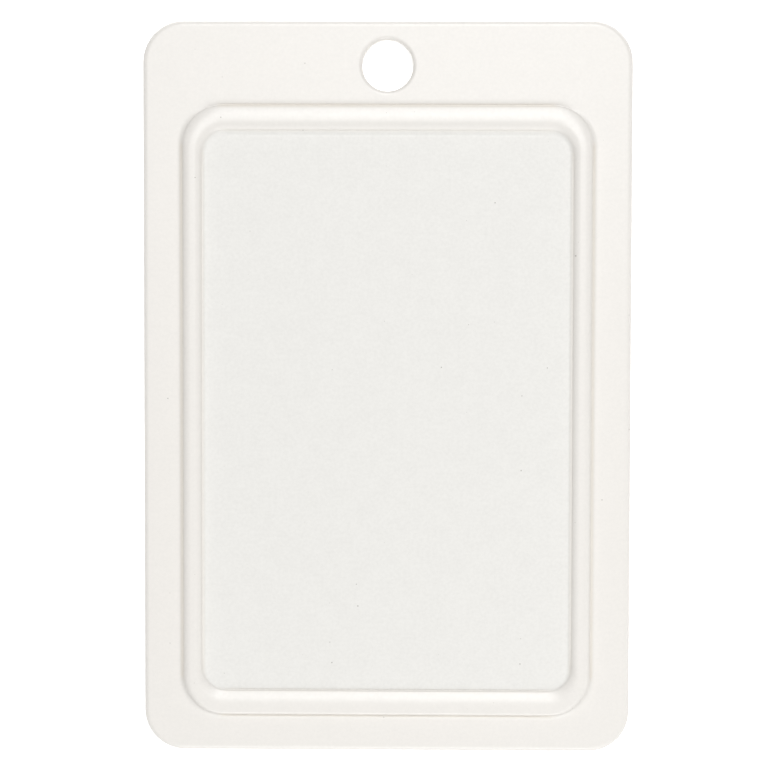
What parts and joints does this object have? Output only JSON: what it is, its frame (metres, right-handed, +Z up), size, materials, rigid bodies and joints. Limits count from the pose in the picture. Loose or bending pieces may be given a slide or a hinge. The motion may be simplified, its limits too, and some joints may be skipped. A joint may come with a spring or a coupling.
{
  "type": "cutting board",
  "caption": "Rectangular white plastic cutting board with rounded corners, a round hang hole and a raised bead round the field.",
  "frame": {"origin": "middle of the flat underside, which lies on the counter", "axes": "+Z up out of the working face, +Y along the length towards the end with the hang hole, +X across the width"},
  "size_m": [0.3048, 0.4572, 0.0167],
  "materials": {
    "polyethylene": "warm white, satin, with a fine moulded pebble"
  },
  "bodies": {
    "root": {"board": "polyethylene"}
  },
  "joints": []
}
